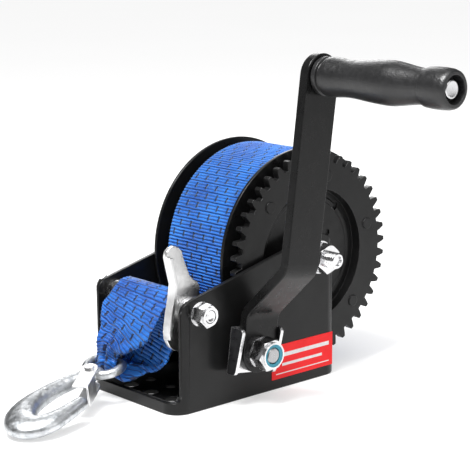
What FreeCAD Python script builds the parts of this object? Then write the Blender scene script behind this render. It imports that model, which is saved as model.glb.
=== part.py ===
# Hand-cranked boat trailer winch with a webbing strap and a snap hook.
# Frame: +Z up, -X is the side the strap pulls from, -Y is the crank side.
# Origin: centre of the base footprint, on the underside of the base.
import FreeCAD, Part
import math, os

os.makedirs("parts", exist_ok=True)
V = FreeCAD.Vector

# ---------------- driving dimensions (mm) ----------------
SHEET = 3.0               # frame sheet thickness
BASE_L, BASE_W = 132.0, 81.0
BASE_R = 11.0             # plan corner radius of the base tray
LIP_FRONT, LIP_REAR = 7.0, 9.0
PLATE_X0, PLATE_X1 = -60.5, 61.0   # front and rear edges of the side plates
DRUM_X, DRUM_Z = 47.0, 76.0        # drum axis
LOBE_R = 14.5             # plate radius round the drum axle
TOP_SLOPE = 0.25          # slope of the plates' top edge
STRAP_W = 50.0
STRAP_T = 1.6
STRAP_Y1, STRAP_Y0 = 25.7, -24.3   # far and near edge of the wound strap
ROLL_R = 63.3
FLANGE_R = 65.0
FLANGE_T = 2.3
FAR_FLANGE_Y = 36.5       # outer face of the far flange
NEAR_FLANGE_Y = -24.5     # strap-side face of the near flange
CORE_OD, CORE_ID = 32.0, 24.0
GEAR_N, PINION_N = 44, 10
MODULE = 2.75
GEAR_TIP_R = 63.0
GEAR_Y0, GEAR_Y1 = -31.4, -36.0    # back and front face of the toothed ring
GEAR_OPEN_R = 41.0
GEAR_PHASE = 34.4         # angle of one tooth centre, degrees from +X towards +Z
PIN_DIR = (-0.795, -0.6065)        # direction from drum axis to pinion axis
TIE_X, TIE_Z = -48.0, 58.0         # pawl pivot and tie bolt
TIE_TUBE_OD = 13.0
RATCHET_N, RATCHET_R, RATCHET_ROOT = 12, 17.5, 13.2
RATCHET_Y0, RATCHET_Y1 = -27.7, -30.7
ARM_TILT = 8.0            # crank arm lean from vertical towards +X, degrees
ARM_W, ARM_T = 25.0, 6.0
ARM_LOW_Y = -46.5         # inner face of the arm at the hub
ARM_HIGH_Y = -74.5        # inner face of the arm at the handle
ARM_S1, ARM_S2 = 24.0, 53.0        # joggle start and end along the arm
CRANK_R = 161.5           # crank radius, shaft to handle
GRIP_END_Y = -175.0
HOOK_B = (-70.0, 13.0, 22.5)        # centre of the hook's eye bar
HOOK_DIR = (-0.965, -0.264)        # plan direction of the hook
LOOP_W = 6.9              # half width of the gathered strap in the hook's eye
HOOK_DROP = 11.5         # degrees below horizontal
HOOK_ROLL = -3.0          # degrees about the hook's own length
EYE_R = 3.0               # radius of the eye ring's bar
BASE_HOLE = 9.0           # clearance for M8
HOLE_PITCH = 19.0

HW = BASE_W / 2
IN_Y = HW - SHEET
dl = math.hypot(*PIN_DIR)
CD = MODULE * (GEAR_N + PINION_N) / 2
SX = DRUM_X + CD * PIN_DIR[0] / dl
SZ = DRUM_Z + CD * PIN_DIR[1] / dl


def cyl(r, y0, y1, x=0.0, z=0.0):
    """solid cylinder along Y between y0 and y1"""
    lo, hi = min(y0, y1), max(y0, y1)
    return Part.makeCylinder(r, hi - lo, V(x, lo, z), V(0, 1, 0))


def tube(ro, ri, y0, y1, x=0.0, z=0.0):
    lo, hi = min(y0, y1), max(y0, y1)
    return cyl(ro, lo, hi, x, z).cut(cyl(ri, lo - 1, hi + 1, x, z))


def prism_y(pts, y0, y1):
    """extrude a closed XZ polygon along Y"""
    lo, hi = min(y0, y1), max(y0, y1)
    w = Part.makePolygon([V(a, lo, b) for a, b in pts] + [V(pts[0][0], lo, pts[0][1])])
    return Part.Face(w).extrude(V(0, hi - lo, 0))


def prism_x(pts, x0, x1):
    """extrude a closed YZ polygon along X"""
    w = Part.makePolygon([V(x0, a, b) for a, b in pts] + [V(x0, pts[0][0], pts[0][1])])
    return Part.Face(w).extrude(V(x1 - x0, 0, 0))


def hex_y(af, y0, y1, x, z, rot=0.0, chamfer=0.0):
    """hexagonal prism along Y, across flats af, with turned-off corners"""
    r = af / math.sqrt(3)
    p = [(x + r * math.cos(math.radians(rot + 60 * i)), z + r * math.sin(math.radians(rot + 60 * i))) for i in range(6)]
    s = prism_y(p, y0, y1)
    if chamfer:
        lo, hi = min(y0, y1), max(y0, y1)
        h = hi - lo
        rc = r - chamfer
        cone_a = Part.makeCone(rc, rc + h * 1.7, h, V(x, lo, z), V(0, 1, 0))
        cone_b = Part.makeCone(rc, rc + h * 1.7, h, V(x, hi, z), V(0, -1, 0))
        s = s.common(cone_a).common(cone_b)
    return s


def bar(a, b, r):
    a, b = V(*a), V(*b)
    d = b - a
    return Part.makeCylinder(r, d.Length, a, d)


def single(s):
    s = s.removeSplitter()
    return s


parts = {}

# ---------------- frame: one-piece tray with two side plates ----------------
def rrect(l, w, r, z0, h):
    b = Part.makeBox(l, w, h, V(-l / 2, -w / 2, z0))
    ed = [e for e in b.Edges if abs(e.Vertexes[0].X - e.Vertexes[1].X) < 1e-6 and abs(e.Vertexes[0].Y - e.Vertexes[1].Y) < 1e-6]
    return b.makeFillet(r, ed)

TOP = 120.0
outer = rrect(BASE_L, BASE_W, BASE_R, 0, TOP)
inner = rrect(BASE_L - 2 * SHEET, BASE_W - 2 * SHEET, BASE_R - SHEET, SHEET, TOP)
shell = outer.cut(inner)
zl = lambda x: DRUM_Z + LOBE_R * math.sqrt(1 + TOP_SLOPE ** 2) + TOP_SLOPE * (x - DRUM_X)
# side outline in XZ
plate = prism_y([(PLATE_X0, -1), (PLATE_X0, zl(PLATE_X0)),
                 (DRUM_X - LOBE_R * math.sin(math.atan(TOP_SLOPE)), DRUM_Z + LOBE_R * math.cos(math.atan(TOP_SLOPE))),
                 (DRUM_X, DRUM_Z), (PLATE_X1 + 0.5, DRUM_Z), (PLATE_X1 + 0.5, -1)], -60, 60)
ed = [e for e in plate.Edges if abs(e.Vertexes[0].Y - e.Vertexes[1].Y) > 1 and abs(e.Vertexes[0].X - PLATE_X0) < 1e-6 and e.Vertexes[0].Z > 5]
plate = plate.makeFillet(8.0, ed)
plate = plate.fuse(cyl(LOBE_R, -60, 60, DRUM_X, DRUM_Z))
front_lip = Part.makeBox(30, 200, LIP_FRONT, V(-BASE_L / 2 - 1, -100, 0))
rear_lip = Part.makeBox(30, 200, LIP_REAR, V(BASE_L / 2 - 29, -100, 0))
# coves that blend the lips up into the plates' edges
cf = 3.0
def cove(x, z, sx):
    b = Part.makeBox(cf, 200, cf, V(min(x, x + sx * cf), -100, z))
    return b.cut(cyl(cf, -101, 101, x + sx * cf, z + cf))
keep = plate.fuse(front_lip).fuse(rear_lip).fuse(cove(PLATE_X0, LIP_FRONT, -1)).fuse(cove(PLATE_X1 + 0.5, LIP_REAR, 1))
frame = shell.common(keep)
# flat inner faces above the lips, clear of the turning drum
frame = frame.cut(Part.makeBox(126.0, 2 * (IN_Y - 0.3), TOP, V(-62.5, -(IN_Y - 0.3), 10.2)))
# base fastening holes: two rows of three at the front, one row of three at the rear
HOLE_ROWS = [(-51.0, BASE_HOLE), (-36.0, 6.5), (51.0, BASE_HOLE)]
for hx, hd in HOLE_ROWS:
    for k in (-1, 0, 1):
        frame = frame.cut(Part.makeCylinder(hd / 2, 12, V(hx, k * HOLE_PITCH, -2)))
# bearing and bolt holes through both plates
frame = frame.cut(cyl(5.1, -60, 60, DRUM_X, DRUM_Z))
frame = frame.cut(cyl(9.0, -60, 60, SX, SZ))
frame = frame.cut(cyl(4.1, -60, 60, TIE_X, TIE_Z))
parts["frame"] = single(frame)

# ---------------- blank instruction label on the crank-side plate ----------------
lab = prism_y([(8.7, 6.2), (59.6, 6.2), (59.6, 27.0), (8.7, 27.0)], -HW - 0.25, -HW)
parts["plate_label"] = lab

# ---------------- drum axle ----------------
def washer(od, idd, y0, t, x, z):
    return tube(od / 2, idd / 2, y0, y0 + t, x, z)

parts["axle_washers"] = Part.makeCompound([
    washer(20, 10.2, -HW - 1.9, 1.9, DRUM_X, DRUM_Z), washer(20, 10.2, HW, 1.9, DRUM_X, DRUM_Z)])
ax = hex_y(16, HW + 1.9, HW + 1.9 + 6.4, DRUM_X, DRUM_Z, 12, 0.5)
ax = ax.fuse(cyl(5.0, -57.4, HW + 2.5, DRUM_X, DRUM_Z))
ax = ax.cut(Part.makeCone(1.9, 0.2, 2.0, V(DRUM_X, -57.4, DRUM_Z), V(0, 1, 0)))
parts["axle_bolt"] = single(ax)
nut = hex_y(16, -HW - 1.9 - 8.0, -HW - 1.9, DRUM_X, DRUM_Z, 20, 0.9)
nut = nut.cut(cyl(5.0, -80, 0, DRUM_X, DRUM_Z))
parts["axle_nut"] = single(nut)
parts["axle_sleeve"] = tube(7.0, 5.1, -IN_Y, IN_Y, DRUM_X, DRUM_Z)

# ---------------- drum ----------------
CORE_END = -29.6
parts["drum_core"] = tube(CORE_OD / 2, CORE_ID / 2, CORE_END, FAR_FLANGE_Y, DRUM_X, DRUM_Z)
ANCH = [(DRUM_X + 24 * math.cos(math.radians(a)), DRUM_Z + 24 * math.sin(math.radians(a))) for a in (205,)]
def flange(y0, y1):
    f = tube(FLANGE_R, CORE_OD / 2, y0, y1, DRUM_X, DRUM_Z)
    for a, b in ANCH:
        f = f.cut(cyl(3.0, -60, 60, a, b))
    return f
far = flange(FAR_FLANGE_Y - FLANGE_T, FAR_FLANGE_Y)
# rolled bead round the rim of the far flange
parts["drum_flange_far"] = far
near = flange(NEAR_FLANGE_Y - FLANGE_T, NEAR_FLANGE_Y)
# gear: toothed ring, drawn cup wall and hub disc
def gear_profile(n, tip, root, mod, phase, thin=0.0, alpha=20.0, steps=5):
    """closed list of XZ points of an involute gear centred on the origin"""
    rp = mod * n / 2
    rb = rp * math.cos(math.radians(alpha))
    inv = lambda t: math.tan(t) - t
    half = math.pi / (2 * n) - thin / (2 * rp)
    a0 = inv(math.radians(alpha))
    pts = []
    for k in range(n):
        c = math.radians(phase) + 2 * math.pi * k / n
        flank = []
        r_lo = max(rb, root)
        for i in range(steps + 1):
            r = r_lo + (tip - r_lo) * i / steps
            t = math.acos(min(1.0, rb / r))
            flank.append((r, half + a0 - inv(t)))
        first = flank[0][1]
        pts.append((root, c - first - 0.10 * (math.pi / n)))
        for r, h in flank:
            pts.append((r, c - h))
        for r, h in reversed(flank):
            pts.append((r, c + h))
        pts.append((root, c + first + 0.10 * (math.pi / n)))
    return [(r * math.cos(a), r * math.sin(a)) for r, a in pts]

GEAR_ROOT_R = 57.7
gp = gear_profile(GEAR_N, GEAR_TIP_R, GEAR_ROOT_R, MODULE, GEAR_PHASE, thin=0.16)
ring = prism_y([(DRUM_X + a, DRUM_Z + b) for a, b in gp], GEAR_Y0, GEAR_Y1)
ring = ring.cut(cyl(GEAR_OPEN_R, -60, 0, DRUM_X, DRUM_Z))
HUB_Y0, HUB_Y1 = NEAR_FLANGE_Y - FLANGE_T, CORE_END      # hub disc between flange and recess
# cup wall: revolve of an L-shaped section
def revolve_y(pts, x, z):
    """revolve an (r, y) polygon about the Y-parallel axis through x, z"""
    w = Part.makePolygon([V(x + r, y, z) for r, y in pts] + [V(x + pts[0][0], pts[0][1], z)])
    return Part.Face(w).revolve(V(x, 0, z), V(0, 1, 0), 360)
cup = revolve_y([(CORE_OD / 2, HUB_Y0), (43.5, HUB_Y0), (43.5, GEAR_Y0), (45.0, GEAR_Y0), (45.0, GEAR_Y0 - 0.5),
                 (GEAR_OPEN_R, GEAR_Y0 - 0.5), (GEAR_OPEN_R, HUB_Y1), (37.2, HUB_Y1), (36.6, HUB_Y1 - 0.9),
                 (34.4, HUB_Y1 - 0.9), (33.8, HUB_Y1), (CORE_OD / 2, HUB_Y1)], DRUM_X, DRUM_Z)
gear = ring.fuse(cup)
gear = gear.cut(cyl(2.0, -60, HUB_Y1 + 1.2, DRUM_X + 21.5 * math.cos(math.radians(30)), DRUM_Z + 21.5 * math.sin(math.radians(30))))
na = math.radians(47)
nb = Part.makeBox(5.0, 2.0, 3.4, V(-2.5, HUB_Y1 - 1.2, -1.7))
nb.rotate(V(0, 0, 0), V(0, 1, 0), -47)
nb.translate(V(DRUM_X + 36.6 * math.cos(na), 0, DRUM_Z + 36.6 * math.sin(na)))
gear = gear.cut(nb)
BUMP = [(DRUM_X + 49.0 * math.cos(math.radians(15.8 + 60 * i)), DRUM_Z + 49.0 * math.sin(math.radians(15.8 + 60 * i))) for i in range(6)]
for a, b in BUMP:
    gear = gear.cut(cyl(3.0, -60, 0, a, b))
    near = near.cut(cyl(3.0, -60, 0, a, b))
for a, b in ANCH:
    gear = gear.cut(cyl(3.0, HUB_Y1 - 2, 0, a, b))
parts["drum_flange_near"] = near
parts["drum_gear"] = single(gear)
riv = []
for a, b in BUMP:
    r = cyl(3.0, NEAR_FLANGE_Y - FLANGE_T, GEAR_Y1, a, b).fuse(cyl(3.0, NEAR_FLANGE_Y, NEAR_FLANGE_Y - FLANGE_T, a, b))
    r = r.fuse(cyl(4.2, NEAR_FLANGE_Y - FLANGE_T, GEAR_Y0, a, b))
    head = Part.makeCylinder(3.6, 0.8, V(a, GEAR_Y1 - 0.8, b), V(0, 1, 0))
    head = head.makeFillet(0.5, [e for e in head.Edges if abs(e.BoundBox.YMin - (GEAR_Y1 - 0.8)) < 1e-3 and e.BoundBox.YLength < 1e-3])
    riv.append(single(r.fuse(head)))
parts["gear_rivets"] = Part.makeCompound(riv)
parts["drum_bushings"] = Part.makeCompound([
    tube(CORE_ID / 2, 7.06, CORE_END, CORE_END + 13, DRUM_X, DRUM_Z),
    tube(CORE_ID / 2, 7.06, FAR_FLANGE_Y - 13, FAR_FLANGE_Y, DRUM_X, DRUM_Z)])
anchor = cyl(3.0, NEAR_FLANGE_Y - FLANGE_T, FAR_FLANGE_Y, *ANCH[0])
parts["strap_anchor_pin"] = anchor
roll = tube(ROLL_R, CORE_OD / 2, STRAP_Y0, STRAP_Y1, DRUM_X, DRUM_Z).cut(cyl(3.0, -60, 60, *ANCH[0]))
parts["strap_roll"] = roll

# ---------------- pinion shaft ----------------
def gear_tooth_at(phase_deg, grow):
    g = gear_profile(GEAR_N, GEAR_TIP_R + 0.30, GEAR_ROOT_R, MODULE, 0.0, thin=-2 * grow)
    k = len(g) // GEAR_N
    return g, k

def pinion_profile(n, tip, samples=26):
    """pinion tooth space cut by the envelope of the mating wheel's teeth"""
    g, k = gear_tooth_at(0, 0.10)
    teeth = []
    for j in range(-3, 4):
        t = []
        for i in range(k):
            a, b = g[(j % GEAR_N) * k + i]
            t.append((a, b))
        teeth.append(t)
    per = 2 * math.pi / n
    rr = []
    steps = 70
    # pinion centre at (CD, 0) from the wheel; work in the pinion's own frame
    polys = []
    for s in range(steps + 1):
        th = (-1.3 + 2.6 * s / steps) * per           # pinion angle
        wh = -th * n / GEAR_N                          # wheel angle
        cw, sw = math.cos(wh), math.sin(wh)
        ct, st = math.cos(-th), math.sin(-th)
        for t in teeth:
            q = []
            for a, b in t:
                x, y = a * cw - b * sw, a * sw + b * cw
                x -= CD
                q.append((x * ct - y * st, x * st + y * ct))
            if min(math.hypot(*p) for p in q) < tip:
                polys.append(q)
    for i in range(samples):
        ang = math.pi + (i / samples - 0.5) * per      # the space faces the wheel, at 180 degrees
        dx, dy = math.cos(ang), math.sin(ang)
        best = tip
        for q in polys:
            for (x1, y1), (x2, y2) in zip(q, q[1:]):
                ex, ey = x2 - x1, y2 - y1
                den = dx * ey - dy * ex
                if abs(den) < 1e-12:
                    continue
                t = (x1 * ey - y1 * ex) / den
                u = (x1 * dy - y1 * dx) / den
                if 0 <= u <= 1 and 2 < t < best:
                    best = t
        rr.append((best, ang))
    out = []
    for m in range(n):
        for r, a in rr:
            out.append((r, a + m * per))
    return out

PIN_TIP = MODULE * PINION_N / 2 + 2.35
prof = pinion_profile(PINION_N, PIN_TIP)
line = math.degrees(math.atan2(SZ - DRUM_Z, SX - DRUM_X))       # from drum axis to shaft axis
# wheel tooth nearest the line of centres, and the pinion angle that meets it
off = (line - GEAR_PHASE) % (360.0 / GEAR_N)                    # wheel tooth centre sits at -off from the line
pin_rot = math.radians(line) + math.radians(off * GEAR_N / PINION_N)
PY0, PY1 = -31.1, -36.6
pin = prism_y([(SX + r * math.cos(a + pin_rot), SZ + r * math.sin(a + pin_rot)) for r, a in prof], PY0, PY1)
JR = 7.0
sh = cyl(JR, -44.0, -28.0 + 1.0, SX, SZ).fuse(cyl(6.0, -28.0, 30.0, SX, SZ)).fuse(cyl(JR, 28.0, 45.5, SX, SZ))
sh = sh.fuse(pin).fuse(cyl(5.0, -63.4, -43, SX, SZ)).fuse(Part.makeCone(4.0, 5.0, 1.0, V(SX, -64.4, SZ), V(0, 1, 0)))
sh = sh.cut(tube(JR + 1, 6.2, 42.5, 43.7, SX, SZ))
# drive flats inside the bracket and arm
flat = Part.makeBox(4, 20.8, 30, V(4.1, -64.7, -15)).fuse(Part.makeBox(4, 20.8, 30, V(-8.1, -64.7, -15)))
flat.rotate(V(0, 0, 0), V(0, 1, 0), ARM_TILT)
flat.translate(V(SX, 0, SZ))
sh = sh.cut(flat)
parts["pinion_shaft"] = single(sh)
dd = cyl(5.0, -53, -43.9, SX, SZ).cut(flat)          # double-D hole form
ratp = []
for i in range(RATCHET_N):
    a = 2 * math.pi * i / RATCHET_N
    st_ = 2 * math.pi / RATCHET_N
    ratp += [(RATCHET_ROOT, a), (RATCHET_R, a + st_ * 0.30), (RATCHET_R, a + st_ * 0.52), (RATCHET_ROOT, a + st_ * 0.80)]
rat = prism_y([(SX + r * math.cos(a), SZ + r * math.sin(a)) for r, a in ratp], RATCHET_Y0, RATCHET_Y1)
rat = rat.cut(cyl(JR, -60, 0, SX, SZ))
parts["ratchet_wheel"] = rat
parts["shaft_bushings"] = Part.makeCompound([
    single(tube(9.0, JR + 0.06, -HW, -IN_Y, SX, SZ).fuse(tube(13.0, JR + 0.06, -HW - 1.4, -HW, SX, SZ))),
    single(tube(9.0, JR + 0.06, IN_Y, HW, SX, SZ).fuse(tube(11.5, JR + 0.06, HW, HW + 1.4, SX, SZ)))])
clip = tube(9.2, 6.2, 42.6, 43.6, SX, SZ)
gap = Part.makeBox(4.4, 4, 12, V(-2.2, 41, 0))
gap.translate(V(SX, 0, SZ))
parts["shaft_clip"] = clip.cut(gap)
parts["hub_spacer"] = tube(10.0, JR, -44.0, -42.3, SX, SZ)

# ---------------- crank ----------------
def crank_frame(s):
    """local (x across, z along the arm) placed on the shaft axis with the arm's lean"""
    s.rotate(V(0, 0, 0), V(0, 1, 0), ARM_TILT)
    s.translate(V(SX, 0, SZ))
    return s

br = Part.makeBox(32.5, 2.5, 27.5, V(-17.5, -46.5, -13.5))
# side flanges with rounded corners, a little deeper at the top than at the bottom
fl_ = [(-44.0, -13.5), (-44.0, 14.0), (-53.2, 14.0), (-54.6, 13.2), (-55.3, 11.5), (-52.6, -11.2), (-51.8, -12.8), (-50.4, -13.5)]
for x0, x1 in ((-17.5, -15.2), (12.7, 15.0)):
    br = br.fuse(prism_x(fl_, x0, x1))
br = single(br)
ob = [e for e in br.Edges if e.BoundBox.ZLength > 20 and abs(e.BoundBox.YMax + 44.0) < 1e-3 and e.BoundBox.YLength < 1e-3]
try:
    br = br.makeFillet(2.0, ob)
except Exception:
    pass
parts["drive_bracket"] = crank_frame(br).cut(dd)

T = ARM_T
S_TOP = CRANK_R + 14.0
a1, a2 = ARM_S1, ARM_S2
yl, yh = ARM_LOW_Y, ARM_HIGH_Y
ang = math.atan2(yl - yh, a2 - a1)
k = T * math.tan(ang / 2)
# inner face runs yl -> yh; the outer face is offset by the thickness, with mitred bends
sec = [(yl, -12.5), (yl, a1), (yh, a2), (yh, S_TOP), (yh - T, S_TOP), (yh - T, a2 - k), (yl - T, a1 - k), (yl - T, -12.5)]
arm = prism_x(sec, -ARM_W / 2, ARM_W / 2)
be = [e for e in arm.Edges if e.BoundBox.XLength > 20 and min(abs(e.BoundBox.ZMin - z) for z in (a1, a2, a2 - k, a1 - k)) < 1e-3]
try:
    inner_e = [e for e in be if min(abs(e.BoundBox.ZMin - z) for z in (a1,)) < 1e-3 or abs(e.BoundBox.ZMin - (a2 - k)) < 1e-3]
    outer_e = [e for e in be if e not in inner_e]
    arm = arm.makeFillet(13.0, inner_e)
    be2 = [e for e in arm.Edges if e.BoundBox.XLength > 20 and e.BoundBox.ZLength < 1e-3 and e.BoundBox.YLength < 1e-3 and min(abs(e.BoundBox.ZMin - z) for z in (a2, a1 - k)) < 1e-3]
    arm = arm.makeFillet(8.0, be2)
except Exception as exc:
    print("arm fillet", exc)
sil = cyl(ARM_W / 2, -100, -30).fuse(Part.makeBox(ARM_W, 70, CRANK_R, V(-ARM_W / 2, -100, 0))).fuse(cyl(ARM_W / 2, -100, -30, 0, CRANK_R))
arm = arm.common(sil)
arm = arm.cut(cyl(3.0, -100, -30, 0, CRANK_R))
parts["crank_arm"] = single(crank_frame(arm).cut(dd))
parts["crank_washer"] = tube(9.3, 5.1, -54.2, -52.5, SX, SZ)
cn = hex_y(17, -63.2, -54.2, SX, SZ, 5, 0.9).fuse(cyl(7.7, -64.8, -60, SX, SZ))
cn = cn.cut(cyl(5.0, -80, 0, SX, SZ)).cut(tube(6.7, 4.9, -66, -62.8, SX, SZ))
parts["crank_nut"] = single(cn)
parts["nut_insert"] = tube(6.7, 5.0, -64.2, -62.8, SX, SZ)
HX = SX + CRANK_R * math.sin(math.radians(ARM_TILT))
HZ = SZ + CRANK_R * math.cos(math.radians(ARM_TILT))
hb = cyl(3.0, -169.5, -66.0, HX, HZ).fuse(hex_y(10, -173.0, -169.0, HX, HZ, 10, 0.35))
parts["handle_bolt"] = single(hb)
hn = hex_y(10, -74.5, -68.6, HX, HZ, 25, 0.35).cut(cyl(3.0, -80, 0, HX, HZ))
parts["handle_nut"] = hn
# grip: turned profile (radius, y), bored for the bolt with a recess for its head
gy = [(-81.0, 10.6), (-81.6, 11.0), (-84.2, 11.0), (-84.7, 9.6), (-85.9, 9.6), (-86.4, 11.0), (-90.0, 11.1), (-94.5, 10.75),
      (-99.0, 10.4), (-103.0, 10.35), (-108.0, 10.55), (-114.0, 11.1), (-120.0, 11.6), (-126.0, 11.95), (-131.5, 12.15),
      (-136.0, 11.9), (-141.0, 11.2), (-147.5, 10.2), (-153.0, 9.6), (-157.0, 9.5), (-157.8, 10.6), (-163.0, 11.0),
      (-168.0, 11.05), (-172.0, 10.8), (-174.2, 10.2), (GRIP_END_Y, 9.4)]
pl = [(3.08, -81.0)] + [(r, y) for y, r in gy] + [(7.6, GRIP_END_Y), (7.4, -168.6), (3.08, -168.6)]
parts["grip"] = revolve_y(pl, HX, HZ)

# ---------------- pawl and tie bolt ----------------
tb = hex_y(13, HW + 1.6, HW + 1.6 + 5.3, TIE_X, TIE_Z, 10, 0.4).fuse(cyl(3.95, -50.5, HW + 2, TIE_X, TIE_Z)).fuse(Part.makeCone(3.3, 3.95, 0.6, V(TIE_X, -51.1, TIE_Z), V(0, 1, 0)))
parts["tie_bolt"] = single(tb)
parts["tie_washers"] = Part.makeCompound([washer(14, 8.2, -HW - 1.6, 1.6, TIE_X, TIE_Z), washer(17, 8.2, HW, 1.6, TIE_X, TIE_Z)])
tn = hex_y(12, -HW - 1.6 - 8.0, -HW - 1.6, TIE_X, TIE_Z, 15, 0.6).fuse(cyl(5.3, -HW - 1.6 - 9.2, -HW - 4, TIE_X, TIE_Z))
parts["tie_nut"] = single(tn.cut(cyl(3.95, -80, 0, TIE_X, TIE_Z)))
parts["tie_spacer"] = tube(TIE_TUBE_OD / 2, 4.15, -25.9, IN_Y, TIE_X, TIE_Z)
parts["pawl_hub"] = tube(7.5, 4.03, -37.2, -26.2, TIE_X, TIE_Z)
PO = [(-15, 33), (-14.2, 36.2), (-12, 38), (-9, 38.6), (-6, 37.8), (-3.6, 35.6), (-2.2, 31), (0.2, 25), (2.4, 20), (5, 17.2), (8, 15.4), (9.6, 12.6), (9.2, 9.5),
      (10.4, 5.5), (11, -3), (9.8, -10), (12.6, -15.4), (16.8, -19.2), (18.2, -22.6), (16.6, -25.0), (12.5, -26.2), (5, -24.4), (-3, -23.6), (-9, -22.4), (-13, -19.6), (-15.6, -14.5),
      (-16, -10), (-14.4, 0), (-12.6, 8), (-11.2, 17), (-13.0, 24)]
pw = prism_y([(TIE_X + a, TIE_Z + b) for a, b in PO], RATCHET_Y0, RATCHET_Y1)
pw = pw.cut(cyl(7.5, -60, 0, TIE_X, TIE_Z))
# stiffening flange folded along the front edge of the lever
FO = [(-15, 33), (-13.0, 24), (-11.2, 17), (-12.6, 8), (-14.4, 0), (-16, -10), (-15.6, -14.5), (-13, -14.2), (-13.3, -10), (-11.8, 0), (-10.0, 8), (-8.6, 17), (-10.4, 24), (-12.4, 33)]
fo = prism_y([(TIE_X + a, TIE_Z + b) for a, b in FO], RATCHET_Y1, RATCHET_Y1 - 3.0)
fo = fo.cut(cyl(7.5, -60, 0, TIE_X, TIE_Z))
parts["pawl"] = single(pw.fuse(fo))
# wire-wound return spring round the pawl hub, next to the crank-side plate
prof_sp = [(7.8, -36.95)]
for i in range(3):
    yc = -36.45 + 0.98 * i
    for q in range(7):
        t = math.pi - math.pi * q / 6
        prof_sp.append((8.25 + 0.5 * math.sin(t), yc + 0.47 * math.cos(t)))
prof_sp.append((7.8, -34.0))
spr = revolve_y(prof_sp, TIE_X, TIE_Z)
parts["pawl_spring"] = spr

# ---------------- strap tail: from the roll, over the tie tube, down to the hook ----------------
t2 = STRAP_T / 2
rr_ = TIE_TUBE_OD / 2 + 0.3 + t2
def arcpts(cx, cz, r, a0, a1, n):
    return [(cx + r * math.cos(math.radians(a0 + (a1 - a0) * i / n)), cz + r * math.sin(math.radians(a0 + (a1 - a0) * i / n))) for i in range(n + 1)]
ROLL_A = 222.0
p_roll = (DRUM_X + (ROLL_R + 0.45 + t2) * math.cos(math.radians(ROLL_A)), DRUM_Z + (ROLL_R + 0.45 + t2) * math.sin(math.radians(ROLL_A)))
path = arcpts(DRUM_X, DRUM_Z, ROLL_R + 0.45 + t2, ROLL_A + 14, ROLL_A, 4) + arcpts(TIE_X, TIE_Z, rr_, 50, 158, 9) + [(-65.5, 40.0)]
def offset_path(path, d):
    out = []
    for i, p in enumerate(path):
        a = path[max(0, i - 1)]
        b = path[min(len(path) - 1, i + 1)]
        dx, dz = b[0] - a[0], b[1] - a[1]
        l = math.hypot(dx, dz)
        out.append((p[0] - dz / l * d, p[1] + dx / l * d))
    return out
up = offset_path(path, t2)
dn = offset_path(path, -t2)
tail = prism_y(up + list(reversed(dn)), STRAP_Y0 + 0.0, STRAP_Y1)
parts["strap_tail"] = tail
# gathered lower end: a lofted block from the flat strap down to the eye loop
hd = math.radians(HOOK_DROP)
hl = math.hypot(*HOOK_DIR)
hx, hy = HOOK_DIR[0] / hl, HOOK_DIR[1] / hl
D = V(hx * math.cos(hd), hy * math.cos(hd), -math.sin(hd))     # along the hook, away from the winch
N = V(-hy, hx, 0)
if N.y > 0:
    N = N * -1                                                  # across the hook, towards the crank side
W = D.cross(N)
_r = math.radians(HOOK_ROLL)
N, W = N * math.cos(_r) + W * math.sin(_r), W * math.cos(_r) - N * math.sin(_r)
B = V(*HOOK_B)
def quad(c, half, thick, wdir, tdir):
    return [c + wdir * half + tdir * thick, c - wdir * half + tdir * thick, c - wdir * half - tdir * thick, c + wdir * half - tdir * thick]
Y = V(0, 1, 0)
endd = V(path[-1][0] - path[-2][0], 0, path[-1][1] - path[-2][1]); endd.normalize()
nn = V(-endd.z, 0, endd.x)
c0 = V(path[-1][0], (STRAP_Y0 + STRAP_Y1) / 2, path[-1][1])
s0 = quad(c0, 25.0, t2, Y, nn)
c1 = B + V(0.4, 0, 6.2)
def ruled(sa, sb):
    def wire(s):
        return Part.makePolygon(s + [s[0]])
    return Part.makeLoft([wire(sa), wire(sb)], True, True)
# make both quads run the same way round
s1 = quad(c1 + N * -0.4, LOOP_W, 4.2, N * -1, nn)
low = ruled(s0, s1)
loop = Part.makeCylinder(6.3, 2 * LOOP_W, B - N * (LOOP_W + 0.4), N).cut(Part.makeCylinder(3.5, 30.0, B - N * 15, N))
low = low.cut(Part.makeCylinder(3.5, 40.0, B - N * 20, N))
parts["strap_loop"] = single(low.fuse(loop))

# ---------------- hook ----------------
def hp(u, v, w=0.0):
    return B + D * u + N * v + W * w
def rod(a, b, r):
    return Part.makeCylinder(r, (b - a).Length, a, b - a)
def ball(c, r):
    return Part.makeSphere(r, c)
# eye ring: straight rear bar, rounded corners and a curved front, as (u, v)
eyep = [(0, -8.2), (0, 7.4), (2.4, 9.7), (7.0, 10.3), (12.0, 8.8), (16.2, 5.0), (17.6, 0.0), (16.6, -5.0), (12.6, -9.2), (7.0, -11.1), (2.4, -10.5)]
hk = None
for i in range(len(eyep)):
    a, b = hp(*eyep[i]), hp(*eyep[(i + 1) % len(eyep)])
    s = rod(a, b, EYE_R).fuse(ball(a, EYE_R))
    hk = s if hk is None else hk.fuse(s)
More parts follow.
